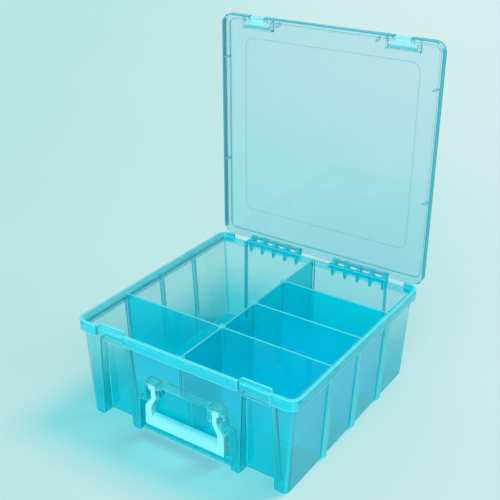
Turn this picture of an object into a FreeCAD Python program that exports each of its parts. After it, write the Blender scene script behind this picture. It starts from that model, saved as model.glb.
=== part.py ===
"""A divided craft storage box: a tub, a hinged lid, two latches, a carry handle and loose dividers.

Millimetres, Z up. The origin is on the floor under the middle of the rim, and the front faces -Y.
What rides on the lid is drawn on the closed box and then swung open, because the box rests open.
"""
import FreeCAD
import Part
import math
import os

os.makedirs("parts", exist_ok=True)
Vector = FreeCAD.Vector

# Rim of the tub
rim_width = 356.0
rim_depth = 351.0
rim_height = 150.5
rim_radius = 17.0
side_overhang = 6.8
end_overhang = 6.4
rim_return = 25.0
lip_width = 4.7
lip_round = 1.2
ledge_drop = 4.0
skirt_drop = 15.0
skirt_thickness = 2.2

# Walls and floor of the tub
wall = 2.4
floor_thickness = 2.6
side_draft = 3.1
end_draft = 0.5
body_radius = 8.0
pillar_round = 3.0
foot_round = 2.6

# Recesses in the front wall, measured from the pillars' faces at the floor
recess_depth = 18.1
recess_draft = 3.5
flank_draft = 2.4
bay_inset = 61.2
bay_flare = 2.8
bay_land = 17.5
sill_setback = 7.8

# Hinges
hinge_setback = 5.5
hinge_drop = 0.3
hinge_pin_radius = 1.6
knuckle_radius = 3.7
knuckle_count = 5
first_knuckle = 33.0
last_knuckle_inset = 59.0
tub_knuckle_width = 6.0
knuckle_play = 0.3
knuckle_relief = 0.5
pin_clearance = 0.06
bulge_depth = 3.9
bulge_margin = 4.5
beam_gap = 1.0
beam_height = 7.5
gusset_thickness = 4.0
gusset_drop = 20.0
gusset_nose = 3.2
stop_reach = 8.0
stop_gap = 0.3

# Lid
lid_open_angle = 90.0
lid_height = 9.6
lid_gap = 0.3
lid_thickness = 2.2
lid_radius = 16.0
lid_round = 1.8
lid_border = 7.5
lid_rise = 2.0
plaque_rise = 0.6
plaque_side = 36.0
plaque_front = 34.7
plaque_back = 47.5
plaque_radius = 14.0
locator_thickness = 1.6
locator_gap = 0.5
locator_length = 6.0
locator_reach = 3.1
side_locators = (-110.0, 54.0)
front_locator_gap = 11.0
latch_box_height = 5.2
latch_box_wall = 1.5
latch_box_gap = 2.5
latch_box_room = 1.4

# Latches
latch_width = 43.0
latch_neck_width = 23.0
latch_notch_gap = 1.5
latch_notch_depth = 11.0
latch_side_gap = 2.0
latch_thickness = 2.6
latch_setback = 2.7
latch_pin_drop = 4.6
latch_pin_radius = 1.4
latch_barrel_radius = 2.6
latch_shoulder = 6.3
latch_reach = 14.3
latch_round = 3.0
latch_edge = 0.6
latch_hang = 86.0
lug_width = 3.0
hook_height = 2.8
hook_gap = 0.4
hook_clearance = 0.8
ridge_reach = 2.0
ridge_land = 1.0
ridge_height = 3.0
tab_rise = 3.0
tab_round = 4.0

# Carry handle and the recess it hangs in
handle_inset = 112.0
handle_pivot_height = 78.0
handle_setback = 1.5
handle_drop = 63.2
handle_side_gap = 10.0
handle_top_gap = 2.9
handle_corner = 3.0
grip_height = 18.0
grip_depth = 12.0
grip_round = 2.4
grip_roll = 6.0
arm_step = 15.0
arm_width = 7.8
arm_foot_width = 11.0
arm_depth = 10.0
arm_shoulder_top = 16.0
arm_shoulder_bottom = 31.0
arm_bend = 6.0
arm_round = 1.2
arm_side_gap = 3.2
arm_recess_drop = 22.0
handle_eye_radius = 5.0
handle_eye_reach = 3.4
handle_pin_radius = 2.0
handle_pin_boss = 4.5
handle_pin_hold = 3.0
ear_width = 6.0
ear_gap = 0.8
ear_drop = 14.0
ear_round = 3.5
brow_round = 5.0

# Dividers
divider_thickness = 2.4
divider_drop = 3.0
divider_clearance = 0.35
divider_round = 0.7
slot_pitch = 80.0
slot_offset = 4.0
channel_depth = 3.2
channel_wall = 2.0
guide_thickness = 1.8
guide_depth = 3.0
guide_rise = 1.5
end_guide_depth = 4.0

# Places worked out from the sizes above
ledge_height = rim_height - ledge_drop
skirt_bottom = rim_height - skirt_drop
hinge_y = rim_depth / 2 + hinge_setback
hinge_z = rim_height - hinge_drop
last_knuckle = rim_width / 2 - last_knuckle_inset
knuckle_pitch = (last_knuckle - first_knuckle) / (knuckle_count - 1)
hinge_run = (first_knuckle - tub_knuckle_width / 2, last_knuckle + tub_knuckle_width / 2)
bulge_half = hinge_run[1] + bulge_margin
lid_back = hinge_y + knuckle_radius
lid_front = -rim_depth / 2
lid_skirt_bottom = rim_height + lid_gap
lid_border_top = lid_skirt_bottom + lid_height
lid_border_underside = lid_border_top - lid_thickness
bay_center = rim_width / 2 - bay_inset
latch_y = lid_front + latch_setback
latch_z = lid_border_top - latch_pin_drop
latch_notch_width = latch_neck_width + 2 * latch_notch_gap
latch_bottom = latch_z - latch_reach
bay_width = latch_width + 2 * latch_side_gap
ridge_bottom = latch_bottom + hook_height + hook_gap
bay_top = ridge_bottom - bay_land
handle_half = rim_width / 2 - handle_inset
handle_bottom = handle_pivot_height - handle_drop
handle_recess_half = handle_half + handle_side_gap
handle_recess_top = handle_pivot_height + handle_eye_radius + handle_top_gap
arm_recess_bottom = handle_pivot_height - arm_recess_drop
arm_inner = handle_half - arm_step - arm_width / 2
arm_outer = handle_half - arm_step + arm_width / 2
eye_outer = arm_outer + handle_eye_reach
ear_outer = arm_inner - ear_gap
ear_inner = ear_outer - ear_width
groove_half = divider_thickness / 2 + divider_clearance
divider_top = rim_height - divider_drop
divider_bottom = floor_thickness + divider_clearance
slots = [slot_offset + row * slot_pitch for row in (-1, 0, 1)]
sides = {"left": -1, "right": 1}
overrun = 1.0
tolerance = 1e-3


def side_x(z):
    """Outer face of a side wall at a height."""
    return rim_width / 2 - side_overhang - (rim_height - z) * math.tan(math.radians(side_draft))


def end_y(z):
    """Outer face of the back wall at a height; the front pillars mirror it."""
    return rim_depth / 2 - end_overhang - (rim_height - z) * math.tan(math.radians(end_draft))


def recess_y(z):
    """Outer face of the set-back front wall in the latch bays and behind the handle."""
    return recess_depth - end_y(0) - z * math.tan(math.radians(recess_draft))


def bulge_y(z):
    """Outer face of the back wall between the corners, where the hinges are."""
    return end_y(z) + bulge_depth


def flank(half, z):
    """Half the width of a recess in the front wall at a height, from its half width at the floor."""
    return half - z * math.tan(math.radians(flank_draft))


bay_foot = bay_width / 2 + bay_flare
pin_seat = eye_outer + arm_side_gap
arm_recess_half = pin_seat + handle_pivot_height * math.tan(math.radians(flank_draft))
handle_front = handle_setback - end_y(handle_pivot_height)
handle_y = handle_front + arm_depth / 2
pin_reach = (ear_inner, pin_seat + wall + handle_pin_hold)
hook_tip = -end_y(latch_bottom) - hook_clearance
latch_box_width = latch_width + 2 * (latch_box_gap + latch_box_wall)
latch_box_back = latch_y + math.hypot(latch_reach, hook_tip - latch_y) + latch_box_room


def box(x, y, z):
    """A plain block between two values on each axis."""
    size = [abs(b - a) for a, b in (x, y, z)]
    return Part.makeBox(*size, Vector(min(x), min(y), min(z)))


def tapered(x, y, z):
    """A block whose x and y ranges are functions of height."""
    rings = []
    for h in z:
        (x0, x1), (y0, y1) = x(h), y(h)
        rings.append([Vector(x0, y0, h), Vector(x1, y0, h), Vector(x1, y1, h), Vector(x0, y1, h)])
    lower, upper = rings
    loops = [lower[::-1], upper]
    loops += [[lower[i], lower[(i + 1) % 4], upper[(i + 1) % 4], upper[i]] for i in range(4)]
    faces = [Part.Face(Part.makePolygon(loop + loop[:1])) for loop in loops]
    return Part.Solid(Part.Shell(faces))


def rounded(corners, place):
    """A flat face with an arc at every corner given as (u, v, radius); place maps u, v into space."""
    edges = []
    starts, ends = [], []
    for i, (u, v, radius) in enumerate(corners):
        here = Vector(u, v, 0)
        before = Vector(*corners[i - 1][:2], 0) - here
        after = Vector(*corners[(i + 1) % len(corners)][:2], 0) - here
        before.normalize()
        after.normalize()
        half = before.getAngle(after) / 2
        run = radius / math.tan(half)
        middle = before + after
        middle.normalize()
        starts.append(here + before * run)
        ends.append((here + middle * (radius / math.sin(half) - radius), here + after * run))
    for i, start in enumerate(starts):
        through, end = ends[i]
        if corners[i][2] > 0:
            edges.append(Part.Arc(*[place(p.x, p.y) for p in (start, through, end)]).toShape())
        following = starts[(i + 1) % len(starts)]
        if (following - end).Length > 1e-6:
            edges.append(Part.LineSegment(place(end.x, end.y), place(following.x, following.y)).toShape())
    return Part.Face(Part.Wire(edges))


def slab(x, y, z, radius):
    """A flat plate with rounded upright corners."""
    corners = [(x[0], y[0], radius), (x[1], y[0], radius), (x[1], y[1], radius), (x[0], y[1], radius)]
    face = rounded(corners, lambda u, v: Vector(u, v, z[0]))
    return face.extrude(Vector(0, 0, z[1] - z[0]))


def across(corners, x):
    """A profile drawn in Y and Z, drawn out along X."""
    face = rounded(corners, lambda u, v: Vector(x[0], u, v))
    return face.extrude(Vector(x[1] - x[0], 0, 0))


def upright(corners, y):
    """A profile drawn in X and Z, drawn out along Y."""
    face = rounded(corners, lambda u, v: Vector(u, y[0], v))
    return face.extrude(Vector(0, y[1] - y[0], 0))


def rod(radius, x, y, z):
    """A round bar along X."""
    return Part.makeCylinder(radius, x[1] - x[0], Vector(x[0], y, z), Vector(1, 0, 0))


def mirrored(span, side):
    """A range of X on the right side, or its mirror image on the left, in rising order."""
    return tuple(sorted(side * u for u in span))


def swing(shape, y, z, angle):
    """Turn a shape about a line along X; a positive angle takes what hangs down out to the front."""
    turned = shape.copy()
    turned.rotate(Vector(0, y, z), Vector(-1, 0, 0), angle)
    return turned


def round_edges(shape, radius, wanted):
    """Round the edges of a shape that a test picks."""
    return shape.makeFillet(radius, [edge for edge in shape.Edges if wanted(edge)])


def lies_at(axis, *levels):
    """A test for edges that lie wholly at one of some levels on an axis."""
    def test(edge):
        low, high = getattr(edge.BoundBox, axis + "Min"), getattr(edge.BoundBox, axis + "Max")
        return any(level - tolerance < low and high < level + tolerance for level in levels)
    return test


def is_upright(edge):
    """Whether an edge is straight and stands nearly upright."""
    run = edge.Vertexes[-1].Point - edge.Vertexes[0].Point
    return edge.Curve.TypeId == "Part::GeomLine" and abs(run.z) > 0.98 * run.Length


def is_front_pillar(edge):
    """Whether an edge runs up a side of a recess in the front wall."""
    middle = edge.BoundBox.Center
    return is_upright(edge) and middle.y < 0 and abs(middle.x) < bay_center + bay_foot + pillar_round


def tub_volume(inset, z):
    """The tub's drafted block and its back bulge, inset from the outer faces of the walls."""
    main = tapered(
        lambda h: (inset - side_x(h), side_x(h) - inset),
        lambda h: (inset - end_y(h), end_y(h) - inset),
        z,
    )
    main = round_edges(main, body_radius - inset, is_upright)
    bulge = tapered(
        lambda h: (inset - bulge_half, bulge_half - inset),
        lambda h: (0, bulge_y(h) - inset),
        z,
    )
    return main.fuse(bulge)


def front_recesses(grow):
    """The hollows in the front wall, grown on every inner side to clear a wall's thickness."""
    def hollow(middle, half, top):
        return tapered(
            lambda h: (middle - flank(half, h) - grow, middle + flank(half, h) + grow),
            lambda h: (-rim_depth / 2, recess_y(h) + grow),
            (-overrun, top + grow),
        )

    handle_hollows = [
        hollow(0, handle_recess_half, arm_recess_bottom),
        hollow(0, arm_recess_half, handle_recess_top),
    ]
    return handle_hollows + [hollow(side * bay_center, bay_foot, bay_top) for side in sides.values()]


def sill():
    """The strip of floor that closes the foot of the handle's recess."""
    return tapered(
        lambda h: (-flank(handle_recess_half, h) - wall / 2, flank(handle_recess_half, h) + wall / 2),
        lambda h: (sill_setback - end_y(0), recess_y(h) + wall / 2),
        (0, floor_thickness),
    )


def rim():
    """The rim: a raised lip, the ledge inside it and the skirt that hangs outside the walls."""
    half_x, half_y = rim_width / 2, rim_depth / 2

    def ring(inset, z):
        return slab((inset - half_x, half_x - inset), (inset - half_y, half_y - inset), z, rim_radius - inset)

    block = ring(0, (skirt_bottom, rim_height))
    block = round_edges(block, lip_round, lies_at("Z", rim_height))
    step = ring(lip_width, (ledge_height, rim_height + overrun))
    shape = block.cut(step).cut(ring(skirt_thickness, (skirt_bottom - overrun, ledge_height - wall)))
    ends = []
    for side in sides.values():
        bay = mirrored((bay_center - bay_width / 2, bay_center + bay_width / 2), side)
        outside = tapered(
            lambda h, bay=bay: bay,
            lambda h: (-rim_depth, -end_y(h)),
            (skirt_bottom - overrun, rim_height + overrun),
        )
        shape = shape.cut(outside)
        for edge, away in ((bay[0], -1), (bay[1], 1)):
            end = tapered(
                lambda h, edge=edge, away=away: tuple(sorted((edge, edge + away * skirt_thickness))),
                lambda h: (-rim_depth, -end_y(h)),
                (skirt_bottom, rim_height),
            )
            ends.append(block.common(end).cut(step))
    back = tapered(
        lambda h: (rim_return - half_x, half_x - rim_return),
        lambda h: (end_y(h), rim_depth),
        (skirt_bottom - overrun, rim_height + overrun),
    )
    return shape.cut(back).fuse(ends)


def catch(side):
    """The tab over a latch bay and the ridge on it that the latch hooks under."""
    bay = mirrored((bay_center - bay_width / 2, bay_center + bay_width / 2), side)
    face = -end_y(ledge_height)
    tab_top = rim_height + tab_rise
    corners = [(bay[0], ledge_height, 0), (bay[1], ledge_height, 0)]
    corners += [(bay[1], tab_top, tab_round), (bay[0], tab_top, tab_round)]
    tab = upright(corners, (face, face + wall))
    foot = -end_y(ridge_bottom)
    profile = [
        (foot + wall / 2, ridge_bottom, 0),
        (foot + wall / 2, ridge_bottom + ridge_height, 0),
        (foot, ridge_bottom + ridge_height, 0),
        (foot - ridge_reach, ridge_bottom + ridge_land, 0),
        (foot - ridge_reach, ridge_bottom, 0),
    ]
    ridge = across(profile, mirrored((bay_center - latch_width / 2, bay_center + latch_width / 2), side))
    return [tab, ridge]


def ear(side):
    """One ear beside an arm of the handle, hung from the brow of the recess with a rounded corner."""
    top = handle_recess_top + wall / 2
    bottom = handle_pivot_height - ear_drop
    corners = [
        (side * ear_outer, top, 0),
        (side * ear_outer, bottom, ear_round / 2),
        (side * ear_inner, bottom, ear_round),
        (side * ear_inner, handle_recess_top, brow_round),
        (side * (ear_inner - 2 * brow_round), handle_recess_top, 0),
        (side * (ear_inner - 2 * brow_round), top, 0),
    ]
    plate = upright(corners, (-rim_depth / 2, 0))
    return plate.common(tapered(
        lambda h: (-rim_width / 2, rim_width / 2),
        lambda h: (handle_front, recess_y(h) + wall / 2),
        (0, rim_height),
    ))


def pin_boss(side):
    """The boss inside the wall of the recess that holds the outer end of a handle pin."""
    span = mirrored((pin_seat + wall / 2, pin_reach[1]), side)
    return rod(handle_pin_boss, span, handle_y, handle_pivot_height)


def knuckle_places(side):
    """The middles of the tub's knuckles on one side."""
    return [side * (first_knuckle + i * knuckle_pitch) for i in range(knuckle_count)]


def hinge_support(side):
    """The beam, gussets and knuckles behind the back wall for one hinge."""
    beam_bottom = ledge_height - beam_height
    beam_back = hinge_y - knuckle_radius - beam_gap
    pieces = [tapered(
        lambda h: mirrored((hinge_run[0] - bulge_margin, bulge_half), side),
        lambda h: (bulge_y(h) - wall / 2, beam_back),
        (beam_bottom, ledge_height),
    )]
    stop_top = hinge_z - knuckle_radius - stop_gap
    foot = bulge_y(stop_top - gusset_drop) - wall / 2
    tip = hinge_y + stop_reach
    gusset = [
        (foot, stop_top - gusset_drop, 0),
        (tip, stop_top - gusset_nose, 0),
        (tip, stop_top, 0),
        (foot, stop_top, 0),
    ]
    for place in knuckle_places(side):
        span = (place - tub_knuckle_width / 2, place + tub_knuckle_width / 2)
        pieces.append(across(gusset, (place - gusset_thickness / 2, place + gusset_thickness / 2)))
        pieces.append(box(span, (bulge_y(ledge_height) - wall / 2, hinge_y), (beam_bottom, hinge_z)))
        pieces.append(rod(knuckle_radius, span, hinge_y, hinge_z))
    return pieces


def wall_channels():
    """Upright channels in the side walls for the cross dividers: bodies to add and grooves to cut."""
    bodies, grooves = [], []
    half = groove_half + channel_wall

    def bottom_x(h):
        return side_x(h) - wall + channel_depth

    for side in sides.values():
        for slot in slots:
            bodies.append(tapered(
                lambda h, side=side: mirrored((side_x(h) - wall, bottom_x(h) + wall), side),
                lambda h, slot=slot: (slot - half, slot + half),
                (0, ledge_height),
            ))
            grooves.append(tapered(
                lambda h, side=side: mirrored((side_x(h) - wall - overrun, bottom_x(h)), side),
                lambda h, slot=slot: (slot - groove_half, slot + groove_half),
                (floor_thickness, rim_height + overrun),
            ))
    return bodies, grooves


def end_guides():
    """Rib pairs inside the front and back walls that hold the ends of the long divider."""
    root, tip = wall / 2, wall + end_guide_depth
    faces = [
        (lambda h: (recess_y(h) + root, recess_y(h) + tip), (floor_thickness, handle_recess_top)),
        (lambda h: (root - end_y(h), tip - end_y(h)), (handle_recess_top, ledge_height)),
        (lambda h: (bulge_y(h) - tip, bulge_y(h) - root), (floor_thickness, ledge_height)),
    ]
    ribs = []
    for side in sides.values():
        span = mirrored((groove_half, groove_half + guide_thickness), side)
        for along, z in faces:
            ribs.append(tapered(lambda h, span=span: span, along, z))
    return ribs


def make_tub():
    """The tub as one moulding."""
    outside = tub_volume(0, (0, ledge_height)).cut(front_recesses(0))
    outside = round_edges(outside.removeSplitter(), pillar_round, is_front_pillar)
    outside = round_edges(outside, foot_round, lies_at("Z", 0))
    bodies, grooves = wall_channels()
    additions = [rim()] + bodies
    for side in sides.values():
        additions += hinge_support(side)
    inside = tub_volume(wall, (floor_thickness, rim_height + overrun)).cut(front_recesses(wall))
    shell = outside.fuse(additions).cut([inside] + grooves)
    fittings = [sill()] + end_guides()
    bores = []
    for side in sides.values():
        fittings += catch(side) + [ear(side), pin_boss(side)]
        bores.append(rod(handle_pin_radius, mirrored(pin_reach, side), handle_y, handle_pivot_height))
        bores.append(rod(hinge_pin_radius, mirrored(hinge_run, side), hinge_y, hinge_z))
    return shell.fuse(fittings).cut(bores).removeSplitter()


def latch_center(side):
    """The middle of one latch along X."""
    return side * bay_center


def lid_tray():
    """The lid's skirt, border and raised middle."""
    half = rim_width / 2

    def plate(inset, z, radius):
        return slab((inset - half, half - inset), (lid_front + inset, lid_back - inset), z, radius)

    tray = plate(0, (lid_skirt_bottom, lid_border_top), lid_radius)
    tray = round_edges(tray, lid_round, lies_at("Z", lid_border_top))
    middle_top = lid_border_top + lid_rise
    middle = plate(lid_border, (lid_border_underside, middle_top), lid_radius - lid_border / 2)
    middle = round_edges(middle, lid_rise / 2, lies_at("Z", middle_top))
    plaque = slab(
        (plaque_side - half, half - plaque_side),
        (lid_front + plaque_front, lid_back - plaque_back),
        (middle_top - lid_thickness / 2, middle_top + plaque_rise),
        plaque_radius,
    )
    inset = lid_thickness
    hollow = plate(inset, (lid_skirt_bottom - overrun, lid_border_underside), lid_radius - inset)
    inset += lid_border
    recess = plate(inset, (lid_border_underside - overrun, middle_top - lid_thickness), lid_radius - inset)
    return tray.fuse([middle, plaque]).cut([hollow, recess])


def lid_locators():
    """Small fins inside the skirt that drop inside the lip of the rim."""
    z = (rim_height - locator_reach, lid_border_underside + lid_thickness / 2)
    outer_x = rim_width / 2 - lip_width - locator_gap
    outer_y = rim_depth / 2 - lip_width - locator_gap
    fins = []
    for side in sides.values():
        span = mirrored((outer_x - locator_length, outer_x), side)
        for place in side_locators:
            fins.append(box(span, (place - locator_thickness / 2, place + locator_thickness / 2), z))
        place = side * (bay_center - latch_box_width / 2 - front_locator_gap)
        across_fin = (place - locator_thickness / 2, place + locator_thickness / 2)
        fins.append(box(across_fin, (-outer_y, locator_length - outer_y), z))
    return fins


def latch_mount(side):
    """What carries one latch under the lid's front edge: a walled box, two lugs, the notch and the bore."""
    middle = latch_center(side)
    half = latch_box_width / 2
    z = (lid_border_underside - latch_box_height, lid_border_top + lid_rise - lid_thickness / 2)
    frame = box((middle - half, middle + half), (lid_front, latch_box_back + latch_box_wall), z)
    core = half - latch_box_wall
    solids = [frame.cut(box((middle - core, middle + core), (lid_front - overrun, latch_box_back), z))]
    notch_half = latch_notch_width / 2
    lug_z = (latch_z - latch_barrel_radius, lid_border_top - lid_thickness / 2)
    lug_y = (lid_front + lid_thickness / 2, latch_y + latch_barrel_radius)
    for away in (-1, 1):
        span = tuple(sorted((middle + away * notch_half, middle + away * (notch_half + lug_width))))
        solids.append(box(span, lug_y, lug_z))
    notch = box(
        (middle - notch_half, middle + notch_half),
        (lid_front - overrun, lid_front + latch_notch_depth),
        (lid_skirt_bottom - overrun, lid_border_top + lid_rise + overrun),
    )
    reach = notch_half + lug_width
    bore = rod(latch_pin_radius, (middle - reach, middle + reach), latch_y, latch_z)
    return solids, [notch, bore]


def lid_knuckles(side):
    """The lid's barrels on one hinge, each on a web from the back skirt, and the reliefs between them."""
    solids, reliefs = [], []
    width = knuckle_pitch - tub_knuckle_width - 2 * knuckle_play
    places = knuckle_places(side)
    for first, second in zip(places, places[1:]):
        middle = (first + second) / 2
        span = (middle - width / 2, middle + width / 2)
        solids.append(rod(knuckle_radius, span, hinge_y, hinge_z))
        solids.append(box(span, (hinge_y, lid_back), (hinge_z, lid_border_underside + lid_thickness / 2)))
    half = tub_knuckle_width / 2 + knuckle_play
    for place in places:
        reliefs.append(rod(knuckle_radius + knuckle_relief, (place - half, place + half), hinge_y, hinge_z))
    run = mirrored((first_knuckle, last_knuckle), side)
    reliefs.append(rod(hinge_pin_radius + pin_clearance, run, hinge_y, hinge_z))
    return solids, reliefs


def make_lid():
    """The lid as one moulding, closed."""
    solids, cuts = lid_locators(), []
    for side in sides.values():
        for more, less in (latch_mount(side), lid_knuckles(side)):
            solids += more
            cuts += less
    return lid_tray().fuse(solids).cut(cuts).removeSplitter()


def make_latch(side):
    """One latch, hooked: a barrel on a neck, and a wide plate with a hook along its lower edge."""
    middle = latch_center(side)
    y = (latch_y - latch_thickness / 2, latch_y + latch_thickness / 2)
    neck, half = latch_neck_width / 2, latch_width / 2
    top = latch_z - latch_shoulder
    corners = [
        (middle - neck, latch_z, 0),
        (middle - neck, top, 0),
        (middle - half, top, latch_round / 2),
        (middle - half, latch_bottom, latch_round),
        (middle + half, latch_bottom, latch_round),
        (middle + half, top, latch_round / 2),
        (middle + neck, top, 0),
        (middle + neck, latch_z, 0),
    ]
    plate = round_edges(upright(corners, y), latch_edge, lies_at("Y", y[0]))
    barrel = rod(latch_barrel_radius, (middle - neck, middle + neck), latch_y, latch_z)
    hook_half = half - latch_round
    profile = [
        (latch_y, latch_bottom, 0),
        (hook_tip - hook_height / 2, latch_bottom, 0),
        (hook_tip, latch_bottom + hook_height / 2, 0),
        (hook_tip, latch_bottom + hook_height, 0),
        (latch_y, latch_bottom + hook_height, 0),
    ]
    hook = across(profile, (middle - hook_half, middle + hook_half))
    bore = rod(latch_pin_radius + pin_clearance, (middle - half, middle + half), latch_y, latch_z)
    return plate.fuse([barrel, hook]).cut(bore).removeSplitter()


def make_handle():
    """The carry handle as it hangs: two bowed arms with eyes, and a deep grip with a rolled top."""
    shoulder_top = handle_pivot_height - arm_shoulder_top
    shoulder_bottom = handle_pivot_height - arm_shoulder_bottom
    foot = handle_half - arm_foot_width
    grip_top = handle_bottom + grip_height
    grip_middle = handle_bottom + grip_height / 2
    arms = []
    for side in sides.values():
        corners = [
            (side * arm_inner, handle_pivot_height, 0),
            (side * arm_inner, shoulder_top, arm_bend),
            (side * foot, shoulder_bottom, arm_bend),
            (side * foot, grip_middle, 0),
            (side * handle_half, grip_middle, 0),
            (side * handle_half, shoulder_bottom, arm_bend),
            (side * arm_outer, shoulder_top, arm_bend),
            (side * arm_outer, handle_pivot_height, 0),
        ]
        faces = (handle_front, handle_front + arm_depth)
        arms.append(round_edges(upright(corners, faces), arm_round, lies_at("Y", *faces)))
        eye = mirrored((arm_inner, eye_outer), side)
        arms.append(rod(handle_eye_radius, eye, handle_y, handle_pivot_height))
    faces = (handle_front, handle_front + grip_depth)
    profile = [
        (faces[0], handle_bottom, grip_round),
        (faces[1], handle_bottom, grip_round),
        (faces[1], grip_top, grip_round),
        (faces[0], grip_top, grip_roll),
    ]
    ends = [
        (-handle_half, handle_bottom, handle_corner),
        (handle_half, handle_bottom, handle_corner),
        (handle_half, grip_top, handle_corner),
        (-handle_half, grip_top, handle_corner),
    ]
    grip = across(profile, (-handle_half, handle_half)).common(upright(ends, faces))
    bore = rod(handle_pin_radius + pin_clearance, (-handle_half, handle_half), handle_y, handle_pivot_height)
    return grip.fuse(arms).cut(bore).removeSplitter()


def is_divider_top(edge):
    """Whether an edge runs along the top of a divider."""
    return lies_at("Z", divider_top)(edge) and edge.Length > 2 * divider_thickness


def make_long_divider():
    """The divider from front to back, stepped over the handle recess, with guides for the cross dividers."""
    gap = wall + divider_clearance
    step = handle_recess_top + gap
    corners = [
        (recess_y(divider_bottom) + gap, divider_bottom, 0),
        (bulge_y(divider_bottom) - gap, divider_bottom, 0),
        (bulge_y(divider_top) - gap, divider_top, 0),
        (gap - end_y(divider_top), divider_top, 0),
        (gap - end_y(step), step, 0),
        (recess_y(step) + gap, step, 0),
    ]
    plate = across(corners, (-divider_thickness / 2, divider_thickness / 2))
    plate = round_edges(plate, divider_round, is_divider_top)
    guides = []
    guide_x = divider_thickness / 2 + guide_depth
    for slot in slots:
        for away in (-1, 1):
            span = sorted((slot + away * groove_half, slot + away * (groove_half + guide_thickness)))
            guides.append(box((-guide_x, guide_x), span, (divider_bottom, divider_top + guide_rise)))
    return plate.fuse(guides).removeSplitter()


def make_cross_divider(side, slot):
    """A divider from the long one to a side wall's channel."""
    near = divider_thickness / 2 + divider_clearance
    gap = wall - channel_depth + divider_clearance
    corners = [
        (side * near, divider_bottom, 0),
        (side * (side_x(divider_bottom) - gap), divider_bottom, 0),
        (side * (side_x(divider_top) - gap), divider_top, 0),
        (side * near, divider_top, 0),
    ]
    plate = upright(corners, (slot - divider_thickness / 2, slot + divider_thickness / 2))
    return round_edges(plate, divider_round, is_divider_top)


def save(shape, node):
    """Write one piece as its own file, after checking that it is one closed solid."""
    if not shape.isValid() or len(shape.Solids) != 1:
        raise ValueError(f"{node} is not one sound solid: it has {len(shape.Solids)}")
    shape.Solids[0].exportStep(f"parts/{node}.step")
    print(node, round(shape.Volume / 1000, 2), "cm3")


def opened(shape):
    """Swing a piece from the closed lid's place to the open lid's."""
    return swing(shape, hinge_y, hinge_z, lid_open_angle)


save(make_tub(), "tub")
save(opened(make_lid()), "lid")
for name, side in sides.items():
    save(rod(hinge_pin_radius, mirrored(hinge_run, side), hinge_y, hinge_z), f"{name}_hinge_pin")
    latch = swing(make_latch(side), latch_y, latch_z, -latch_hang)
    save(opened(latch), f"{name}_latch")
    pin_half = latch_notch_width / 2 + lug_width
    middle = latch_center(side)
    latch_pin = rod(latch_pin_radius, (middle - pin_half, middle + pin_half), latch_y, latch_z)
    save(opened(latch_pin), f"{name}_latch_pin")
    handle_pin = rod(handle_pin_radius, mirrored(pin_reach, side), handle_y, handle_pivot_height)
    save(handle_pin, f"{name}_handle_pin")
save(make_handle(), "carry_handle")
save(make_long_divider(), "long_divider")
save(make_cross_divider(sides["left"], slots[0]), "left_cross_divider")
for row, slot in zip(("front", "middle", "rear"), slots):
    save(make_cross_divider(sides["right"], slot), f"right_{row}_divider")
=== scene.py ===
# %% [markdown]
# # A divided craft storage box
# The box is a clear turquoise tub with a paler hinged lid, two small latches, a folding carry handle
# and five loose dividers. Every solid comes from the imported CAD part, in metres, with the front
# towards -Y and the lid standing open. All pieces are rigid mouldings and their shapes are complete in
# the part, so this lesson adds no mesh: it is about making clear, coloured plastic look right, and then
# about the floor, the light and the camera.

import math

import bpy
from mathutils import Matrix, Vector

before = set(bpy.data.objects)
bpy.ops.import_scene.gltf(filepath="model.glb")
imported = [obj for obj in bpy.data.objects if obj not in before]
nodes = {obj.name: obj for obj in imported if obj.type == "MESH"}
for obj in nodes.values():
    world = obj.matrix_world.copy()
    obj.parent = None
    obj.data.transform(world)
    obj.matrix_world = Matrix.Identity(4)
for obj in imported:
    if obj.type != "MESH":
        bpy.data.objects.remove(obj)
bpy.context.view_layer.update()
print("nodes:", ", ".join(sorted(nodes)))

# %% [markdown]
# ## Writing shaders as sums
# A finish mixes numbers: a little noise here, a mask there. Wiring each Math node by hand hides what is
# being worked out, so a small class stands for a node's output and turns +, - and * into Math nodes.


# %% A socket that does arithmetic
class Socket:
    """A node's output that can be added, subtracted and multiplied."""

    def __init__(self, finish, node, output):
        self.finish = finish
        self.output = node.outputs[output]

    def math(self, operation, first, second):
        return self.finish.add("ShaderNodeMath", {0: first, 1: second}, operation=operation)

    def __add__(self, value):
        return self.math("ADD", self, value)

    def __radd__(self, value):
        return self.math("ADD", value, self)

    def __sub__(self, value):
        return self.math("SUBTRACT", self, value)

    def __rsub__(self, value):
        return self.math("SUBTRACT", value, self)

    def __mul__(self, value):
        return self.math("MULTIPLY", self, value)

    def __rmul__(self, value):
        return self.math("MULTIPLY", value, self)


print("sockets add, subtract and multiply")

# %% [markdown]
# ## One way to make nodes
# A second class holds a node tree, of a material or of the world. Its method `add` makes any node: the
# settings come first, then each input is either linked or given a plain value. The other methods are
# the few patterns that every finish here uses. Places are read in Object coordinates, so a pattern
# stays on its piece when the piece moves.


# %% A node tree with a method that makes nodes
MIX_FIRST, MIX_SECOND, MIX_RESULT = 6, 7, 2  # the Mix node's sockets for colours


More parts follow.
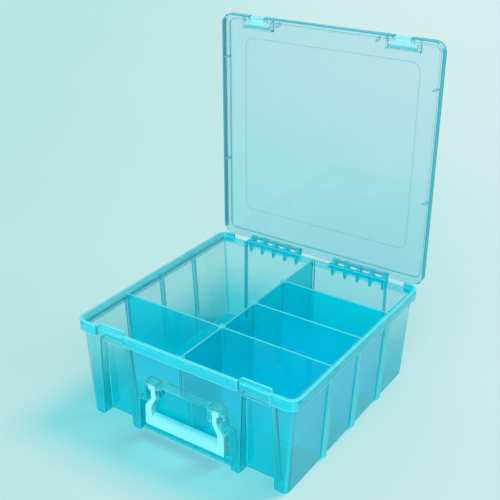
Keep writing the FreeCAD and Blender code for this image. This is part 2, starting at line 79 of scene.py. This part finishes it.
class Finish:
    """The node tree of a material or of the world."""

    def __init__(self, owner):
        self.owner = owner
        owner.use_nodes = True
        self.tree = owner.node_tree
        self.tree.nodes.clear()

    def add(self, kind, inputs=None, output=0, **settings):
        node = self.tree.nodes.new(kind)
        for name, value in settings.items():
            setattr(node, name, value)
        for name, value in (inputs or {}).items():
            if isinstance(value, Socket):
                self.tree.links.new(value.output, node.inputs[name])
            else:
                node.inputs[name].default_value = value
        return Socket(self, node, output)

    def axis(self, letter, kind="Object"):
        place = self.add("ShaderNodeTexCoord", output=kind)
        return self.add("ShaderNodeSeparateXYZ", {"Vector": place}, output=letter)

    def noise(self, scale, detail):
        place = self.add("ShaderNodeTexCoord", output="Object")
        inputs = {"Vector": place, "Scale": scale, "Detail": detail}
        return self.add("ShaderNodeTexNoise", inputs, output="Fac")

    def ramp(self, value, low, high):
        inputs = {"Value": value, "From Min": low, "From Max": high}
        return self.add("ShaderNodeMapRange", inputs, interpolation_type="SMOOTHSTEP")

    def size(self, value):
        return self.add("ShaderNodeMath", {0: value}, operation="ABSOLUTE")

    def most(self, first, second):
        return self.add("ShaderNodeMath", {0: first, 1: second}, operation="MAXIMUM")

    def blend(self, share, first, second):
        inputs = {"Factor": share, MIX_FIRST: first, MIX_SECOND: second}
        return self.add("ShaderNodeMix", inputs, output=MIX_RESULT, data_type="RGBA")

    def mix(self, share, first, second):
        return self.add("ShaderNodeMixShader", {0: share, 1: first, 2: second})

    def ray(self, kind):
        return self.add("ShaderNodeLightPath", output=kind)

    def pass_lamps(self, seen, tint):
        lamp_light = self.add("ShaderNodeBsdfTransparent", {"Color": tint})
        return self.mix(self.ray("Is Shadow Ray"), seen, lamp_light)

    def show(self, kind, shader):
        surface = self.tree.nodes.new(kind).inputs["Surface"]
        self.tree.links.new(shader.output, surface)
        print("finish ready:", self.owner.name)
        return self.owner


def material_finish(name):
    return Finish(bpy.data.materials.new(name))


def rgb(red, green, blue):
    return (red, green, blue, 1.0)


print("finishes can be made")

# %% [markdown]
# ## Where the plastic looks denser, and where highlights are painted
# Clear plastic is never evenly clear. Thick places such as the hinge look dark, a rim shows as a line,
# and the lighter edges, bends, channels and lip are painted highlights. Each helper below makes one
# such mark: a mask, a colour, and how much of the see-through plastic turns into solid colour there.
# Edges are found by the Bevel node, which rounds the normals near an edge: where they differ from the
# real ones, there is one.
# Rounded edges have no such line, so a bend is found as a face that looks along none of the three axes.

# %% Marks of edges, of bends and of heights
EDGE_START = 0.01
EDGE_SAMPLES = 4
BEND_HIGHLIGHT = (0.05, 0.22)


# Where its paint is lighter than the body, as on the tub, the dividers and the latches, this mark is a
# painted highlight along the edges.
def edge_mark(radius, full, paint, added):
    def mark(finish):
        rounded = finish.add("ShaderNodeBevel", {"Radius": radius}, samples=EDGE_SAMPLES)
        true = finish.add("ShaderNodeNewGeometry", output="Normal")
        match = finish.add(
            "ShaderNodeVectorMath", {0: rounded, 1: true}, output="Value", operation="DOT_PRODUCT")
        return finish.ramp(1 - match, EDGE_START, full), paint, added
    return mark


# A bend mark paints rounded bends lighter: a painted highlight.
def bend_highlight_mark(paint, added):
    def mark(finish):
        across, along, up = (finish.size(finish.axis(letter, "Normal")) for letter in "XYZ")
        flat = finish.most(finish.most(across, along), up)
        return finish.ramp(1 - flat, *BEND_HIGHLIGHT), paint, added
    return mark


def height_mark(low, high, paint, added):
    def mark(finish):
        return finish.ramp(finish.axis("Z"), low, high), paint, added
    return mark


print("edge, bend and height marks ready")

# %% Marks of the lip as a painted highlight, of the hinge and of the lid's outline
UPWARD_HIGHLIGHT = (0.5, 0.8)


# A lip mark paints the upward faces of the rim's lip lighter: a painted highlight from above.
def lip_highlight_mark(low, high, paint, added):
    def mark(finish):
        upward_highlight = finish.ramp(finish.axis("Z", "Normal"), *UPWARD_HIGHLIGHT)
        return finish.ramp(finish.axis("Z"), low, high) * upward_highlight, paint, added
    return mark


def back_mark(low, high, paint, added):
    def mark(finish):
        return finish.ramp(finish.axis("Y"), low, high), paint, added
    return mark


def outline_mark(side, top, width, paint, added):
    def mark(finish):
        beside = finish.ramp(finish.size(finish.axis("X")), side - width, side)
        over = finish.ramp(finish.axis("Z"), top - width, top)
        return finish.most(beside, over), paint, added
    return mark


print("lip, hinge and outline marks ready")

# %% Marks of the channels in the side walls as a painted highlight, and of the bulge in the back wall
STEP = 0.0004
CHANNEL_MIDDLE = 0.004
CHANNEL_PITCH = 0.080
CHANNEL_HALF = 0.0038
CHANNEL_REACH = (0.096, 0.104)
BULGE_EDGE = (0.0014, 0.0022)


# A channel mark paints the channels for the dividers lighter: a painted highlight.
def channel_highlight_mark(wall, top, paint, added):
    def mark(finish):
        along = finish.size(finish.axis("Y") - CHANNEL_MIDDLE)
        off = finish.add("ShaderNodeMath", {0: along, 1: CHANNEL_PITCH / 2}, operation="PINGPONG")
        near = 1 - finish.ramp(off, CHANNEL_HALF, CHANNEL_HALF + STEP)
        inner = 1 - finish.ramp(along, *CHANNEL_REACH)
        beside = finish.ramp(finish.size(finish.axis("X")), wall, wall + STEP)
        below = 1 - finish.ramp(finish.axis("Z"), top, top + STEP)
        return near * inner * beside * below, paint, added
    return mark


def bulge_mark(half, front, paint, added):
    def mark(finish):
        off = finish.size(finish.size(finish.axis("X")) - half)
        near = 1 - finish.ramp(off, *BULGE_EDGE)
        return near * finish.ramp(finish.axis("Y"), front, front + STEP), paint, added
    return mark


print("channel and bulge marks ready")

# %% [markdown]
# ## Clear moulded plastic
# A Principled shader with full transmission bends light through the real thickness of each solid, so
# two walls look deeper than one. It is mixed with a solid, glossy body of the same hue, a little of it
# everywhere, because coloured plastic is never quite clear, and more where a mark asks for it. Glass
# blocks lamps in a path tracer, so rays from lamps meet a tinted Transparent shader instead: the box
# then casts a coloured shadow, as the real one does.

# %% A clear plastic finish
FLOW = (9.0, 3.0)
GRAIN = (900.0, 2.0)
GRAIN_RELIEF = {"Strength": 0.04, "Distance": 0.0002}
FLOW_RISE = 0.02
FLOW_SHARE = 0.06
LOW_SHARE = 1.4
BODY_ROUGH = 0.1
BODY_GLOSS = 0.2
CLEAR_ROUGH = 0.03
CLEAR_IOR = 1.40


def clear_plastic(name, low_tint, high_tint, fade, lamp_tint, body, share, marks):
    finish = material_finish(name)
    flow = finish.noise(*FLOW)
    rise = finish.ramp(finish.axis("Z") + flow * FLOW_RISE, *fade)
    amount = flow * FLOW_SHARE + share * (LOW_SHARE - rise)
    colour = body
    for mark in marks:
        mask, paint, added = mark(finish)
        colour = finish.blend(mask, colour, paint)
        amount = amount + mask * added
    relief = finish.add("ShaderNodeBump", {"Height": finish.noise(*GRAIN), **GRAIN_RELIEF})
    solid = finish.add("ShaderNodeBsdfPrincipled", {
        "Base Color": colour,
        "Roughness": flow * FLOW_SHARE + BODY_ROUGH,
        "Normal": relief,
        "Specular IOR Level": BODY_GLOSS,
    })
    clear = finish.add("ShaderNodeBsdfPrincipled", {
        "Base Color": finish.blend(rise, low_tint, high_tint),
        "Roughness": CLEAR_ROUGH,
        "Transmission Weight": 1.0,
        "IOR": CLEAR_IOR,
    })
    seen = finish.mix(amount, clear, solid)
    return finish.show("ShaderNodeOutputMaterial", finish.pass_lamps(seen, lamp_tint))


print("clear plastic can be mixed")

# %% [markdown]
# ## The tub
# The tub is a deep turquoise. Its walls look fuller towards the floor, where the eye meets several of
# them. The skirt of the rim is denser, and the hinge supports behind the back wall show through it as a
# dark comb. Its lip, its channels for the dividers, its bends and its edges are painted lighter: these
# are painted highlights. Later marks lie over earlier ones.

# %% The tub's plastic
tub_plastic = clear_plastic(
    "tub plastic",
    low_tint=rgb(0.22, 0.80, 0.89),
    high_tint=rgb(0.72, 0.96, 0.98),
    fade=(0.02, 0.13),
    lamp_tint=rgb(0.38, 0.91, 0.95),
    body=rgb(0.00, 0.86, 0.92),
    share=0.13,
    marks=[
        # Painted highlight on the channels for the dividers.
        channel_highlight_mark(wall=0.1595, top=0.1340, paint=rgb(0.16, 0.90, 0.95), added=0.25),
        height_mark(low=0.1345, high=0.1365, paint=rgb(0.00, 0.80, 0.93), added=0.28),
        # Painted highlight on the top of the rim's lip.
        lip_highlight_mark(low=0.1490, high=0.1502, paint=rgb(0.10, 0.84, 0.92), added=0.45),
        # Painted highlight on the rounded bends.
        bend_highlight_mark(paint=rgb(0.05, 0.86, 0.95), added=0.30),
        # Painted highlight along the tub's edges.
        edge_mark(radius=0.0016, full=0.25, paint=rgb(0.30, 0.95, 0.98), added=0.75),
        bulge_mark(half=0.1265, front=0.1640, paint=rgb(0.00, 0.58, 0.68), added=0.6),
        back_mark(low=0.1732, high=0.1742, paint=rgb(0.00, 0.58, 0.68), added=0.75),
    ],
)

# %% [markdown]
# ## The lid
# The lid is thin and pale, and a little greyer towards its free edge. What shows most are its outline,
# where one looks along the plastic, and the fine steps of its border and plaque.

# %% The lid's plastic
lid_plastic = clear_plastic(
    "lid plastic",
    low_tint=rgb(0.66, 0.91, 0.97),
    high_tint=rgb(0.80, 0.92, 0.96),
    fade=(0.15, 0.50),
    lamp_tint=rgb(0.84, 0.96, 0.98),
    body=rgb(0.20, 0.72, 0.86),
    share=0.03,
    marks=[
        edge_mark(radius=0.0016, full=0.12, paint=rgb(0.05, 0.64, 0.75), added=0.7),
        outline_mark(
            side=0.1765, top=0.5052, width=0.0010,
            paint=rgb(0.01, 0.47, 0.56), added=0.75),
    ],
)

# %% [markdown]
# ## Dividers and latches
# The dividers are the least clear of the see-through pieces, a deep cyan with a painted highlight along
# the top edge. The latches are two-toned: their upper plates are painted pale, as painted light from
# above, and the thicker hook along the lower edge is deeper, as painted shade below.

# %% The plastics of dividers and latches
divider_plastic = clear_plastic(
    "divider plastic",
    low_tint=rgb(0.01, 0.85, 0.98),
    high_tint=rgb(0.01, 0.88, 0.98),
    fade=(0.0, 0.15),
    lamp_tint=rgb(0.50, 0.97, 0.99),
    body=rgb(0.00, 0.82, 0.98),
    share=0.42,
    marks=[
        # Painted highlight along the divider's edges.
        edge_mark(radius=0.0012, full=0.25, paint=rgb(0.16, 0.88, 0.95), added=0.3),
        # Painted highlight along the divider's top edge.
        height_mark(low=0.1464, high=0.1470, paint=rgb(0.16, 0.88, 0.95), added=0.4),
    ],
)
latch_plastic = clear_plastic(
    "latch plastic",
    low_tint=rgb(0.40, 0.90, 0.94),
    high_tint=rgb(0.60, 0.95, 0.97),
    # This fade paints the upper plate paler than the lower edge: painted light from above.
    fade=(0.489, 0.495),
    lamp_tint=rgb(0.70, 0.96, 0.98),
    body=rgb(0.04, 0.66, 0.76),
    share=0.70,
    marks=[
        # Painted highlight along the latch's edges.
        edge_mark(radius=0.0012, full=0.25, paint=rgb(0.50, 0.94, 0.97), added=0.2),
        # The pale upper plate is painted light from above.
        height_mark(low=0.4925, high=0.4940, paint=rgb(0.45, 0.92, 0.96), added=0.2),
    ],
)

# %% [markdown]
# ## The carry handle
# The handle is the one piece that is hardly see-through: pastel aqua plastic with a soft gloss. A plain
# Principled shader does it, with a broad colour drift and a fine moulded grain. It too lets some lamp
# light through, so that its shadow is aqua and not grey.

# %% The handle's plastic
DRIFT = (14.0, 3.0)
DRIFT_RANGE = (0.3, 0.7)
DRIFT_ROUGH = 0.1
PASTEL_ROUGH = 0.28
PASTEL_GLOSS = 0.35
FINE_GRAIN = (1400.0, 2.0)
FINE_RELIEF = {"Strength": 0.08, "Distance": 0.0002}


def pastel_plastic(name, light, dark, lamp_tint):
    finish = material_finish(name)
    drift = finish.noise(*DRIFT)
    relief = finish.add("ShaderNodeBump", {"Height": finish.noise(*FINE_GRAIN), **FINE_RELIEF})
    body = finish.add("ShaderNodeBsdfPrincipled", {
        "Base Color": finish.blend(finish.ramp(drift, *DRIFT_RANGE), light, dark),
        "Roughness": drift * DRIFT_ROUGH + PASTEL_ROUGH,
        "Normal": relief,
        "Specular IOR Level": PASTEL_GLOSS,
    })
    return finish.show("ShaderNodeOutputMaterial", finish.pass_lamps(body, lamp_tint))


handle_plastic = pastel_plastic(
    "handle plastic",
    light=rgb(0.30, 0.87, 0.93),
    dark=rgb(0.26, 0.84, 0.91),
    lamp_tint=rgb(0.30, 0.70, 0.76),
)

# %% [markdown]
# ## A finish for every piece
# Each CAD node carries one material slot. A pin has the plastic of one of the pieces that it joins, and
# whatever the list doesn't name is a divider.

# %% Dress the pieces
dress = {
    "tub": tub_plastic,
    "left_hinge_pin": tub_plastic,
    "right_hinge_pin": tub_plastic,
    "lid": lid_plastic,
    "left_latch": latch_plastic,
    "right_latch": latch_plastic,
    "left_latch_pin": latch_plastic,
    "right_latch_pin": latch_plastic,
    "carry_handle": handle_plastic,
    "left_handle_pin": handle_plastic,
    "right_handle_pin": handle_plastic,
}
for name, node in nodes.items():
    material = dress.get(name, divider_plastic)
    for slot in node.material_slots:
        slot.material = material
    print(name, "wears", material.name)

# %% [markdown]
# ## The floor
# The box stands on a plain pale aqua sheet, painted a little deeper towards the front left: this is
# painted shade, where the light falls off. The sheet is large, so that it fills the picture, and it
# takes the box's coloured shadow. It lies a hair below the box: two faces at the same height would show
# through the clear base as a pattern of stripes.

# %% The floor sheet
FLOOR_HALF = 20.0
FLOOR_DROP = 0.0004
SHADE_SLOPE = (0.83, 0.56)
SHADE_SLOPE_RANGE = (-0.6, 1.0)
CLOUDS = (1.5, 2.0)
CLOUD_SHARE = 0.4
# The deeper paper colour is painted shade towards the front left.
PAPER_PAINTED_SHADE = rgb(0.44, 0.75, 0.75)
PAPER_PALE = rgb(0.62, 0.82, 0.81)
PAPER_ROUGH = 0.8
corners = [(-FLOOR_HALF, -FLOOR_HALF, 0), (FLOOR_HALF, -FLOOR_HALF, 0)]
corners += [(FLOOR_HALF, FLOOR_HALF, 0), (-FLOOR_HALF, FLOOR_HALF, 0)]
floor_mesh = bpy.data.meshes.new("floor sheet")
floor_mesh.from_pydata(corners, [], [(0, 1, 2, 3)])
floor = bpy.data.objects.new("floor sheet", floor_mesh)
floor.location.z = -FLOOR_DROP
bpy.context.collection.objects.link(floor)

paper = material_finish("floor paper")
# The sheet's tone runs from painted shade at the front left to the pale paper, with random clouds.
along = paper.axis("X") * SHADE_SLOPE[0] + paper.axis("Y") * SHADE_SLOPE[1] + paper.noise(*CLOUDS) * CLOUD_SHARE
tone = paper.blend(paper.ramp(along, *SHADE_SLOPE_RANGE), PAPER_PAINTED_SHADE, PAPER_PALE)
sheet = paper.add("ShaderNodeBsdfPrincipled", {"Base Color": tone, "Roughness": PAPER_ROUGH})
floor_mesh.materials.append(paper.show("ShaderNodeOutputMaterial", sheet))
print("floor sheet", 2 * FLOOR_HALF, "m wide")

# %% [markdown]
# ## The light
# Two broad suns light the box evenly: a key from behind on the right, so that the coloured shadow falls
# to the front left, and a low fill from the front for the upright walls. The sky adds the rest. Clear
# plastic shows whatever is beyond it, so rays that look through it, reflect off it or come straight
# from the camera see the pale tone of the floor instead of the dimmer sky that lights the box.


# %% Two soft suns
def soft_sun(name, direction, spread, strength):
    data = bpy.data.lights.new(name, "SUN")
    data.angle = math.radians(spread)
    data.energy = strength
    lamp = bpy.data.objects.new(name, data)
    lamp.rotation_euler = Vector(direction).to_track_quat("-Z", "Y").to_euler()
    bpy.context.collection.objects.link(lamp)
    print("lamp", name, strength)


soft_sun("key", direction=(-0.32, -0.55, -1.0), spread=24, strength=2.3)
soft_sun("fill", direction=(-0.1, 1.0, -0.28), spread=40, strength=2.3)

# %% The sky
SKY_COLOUR = rgb(0.95, 0.99, 1.0)
SKY_STRENGTH = 0.20
BEYOND_COLOUR = rgb(0.62, 0.83, 0.83)
BEYOND_STRENGTH = 1.0
NO_BOUNCE = 0.5

sky = Finish(bpy.data.worlds.new("studio"))
glow = sky.add("ShaderNodeBackground", {"Color": SKY_COLOUR, "Strength": SKY_STRENGTH})
beyond = sky.add("ShaderNodeBackground", {"Color": BEYOND_COLOUR, "Strength": BEYOND_STRENGTH})
through = sky.most(sky.ray("Is Glossy Ray"), sky.ray("Is Transmission Ray"))
looking = sky.most(sky.ray("Is Camera Ray"), through)
bounces = sky.ray("Diffuse Depth")
straight = sky.add("ShaderNodeMath", {0: bounces, 1: NO_BOUNCE}, operation="LESS_THAN")
scene = bpy.context.scene
scene.world = sky.show("ShaderNodeOutputWorld", sky.mix(looking * straight, glow, beyond))
scene.view_settings.view_transform = "Standard"

# %% [markdown]
# ## The camera
# The camera looks down at the front right corner with a short telephoto lens. A ray meets many clear
# faces before it comes out of the box, so more bounces are allowed than usual. Caustics stay off: lamp
# light already comes through the plastic by the tinted shader, and they would count it twice.

# %% Camera and bounces
CLEAR_BOUNCES = 24
SENSOR_WIDTH = 36.0
LENS = 63.404
CAMERA_PLACE = (0.605435, -0.908018, 0.764744)
CAMERA_DOWN = 25.999
CAMERA_TURN = 33.921

camera_data = bpy.data.cameras.new("camera")
camera_data.sensor_width = SENSOR_WIDTH
camera_data.lens = LENS
camera = bpy.data.objects.new("camera", camera_data)
camera.location = CAMERA_PLACE
camera.rotation_euler = (math.radians(90 - CAMERA_DOWN), 0, math.radians(CAMERA_TURN))
bpy.context.collection.objects.link(camera)
scene.camera = camera
scene.cycles.caustics_refractive = False
scene.cycles.caustics_reflective = False
scene.cycles.max_bounces = CLEAR_BOUNCES
scene.cycles.transmission_bounces = CLEAR_BOUNCES
scene.cycles.transparent_max_bounces = CLEAR_BOUNCES
print("camera with a", LENS, "mm lens,", CLEAR_BOUNCES, "bounces")
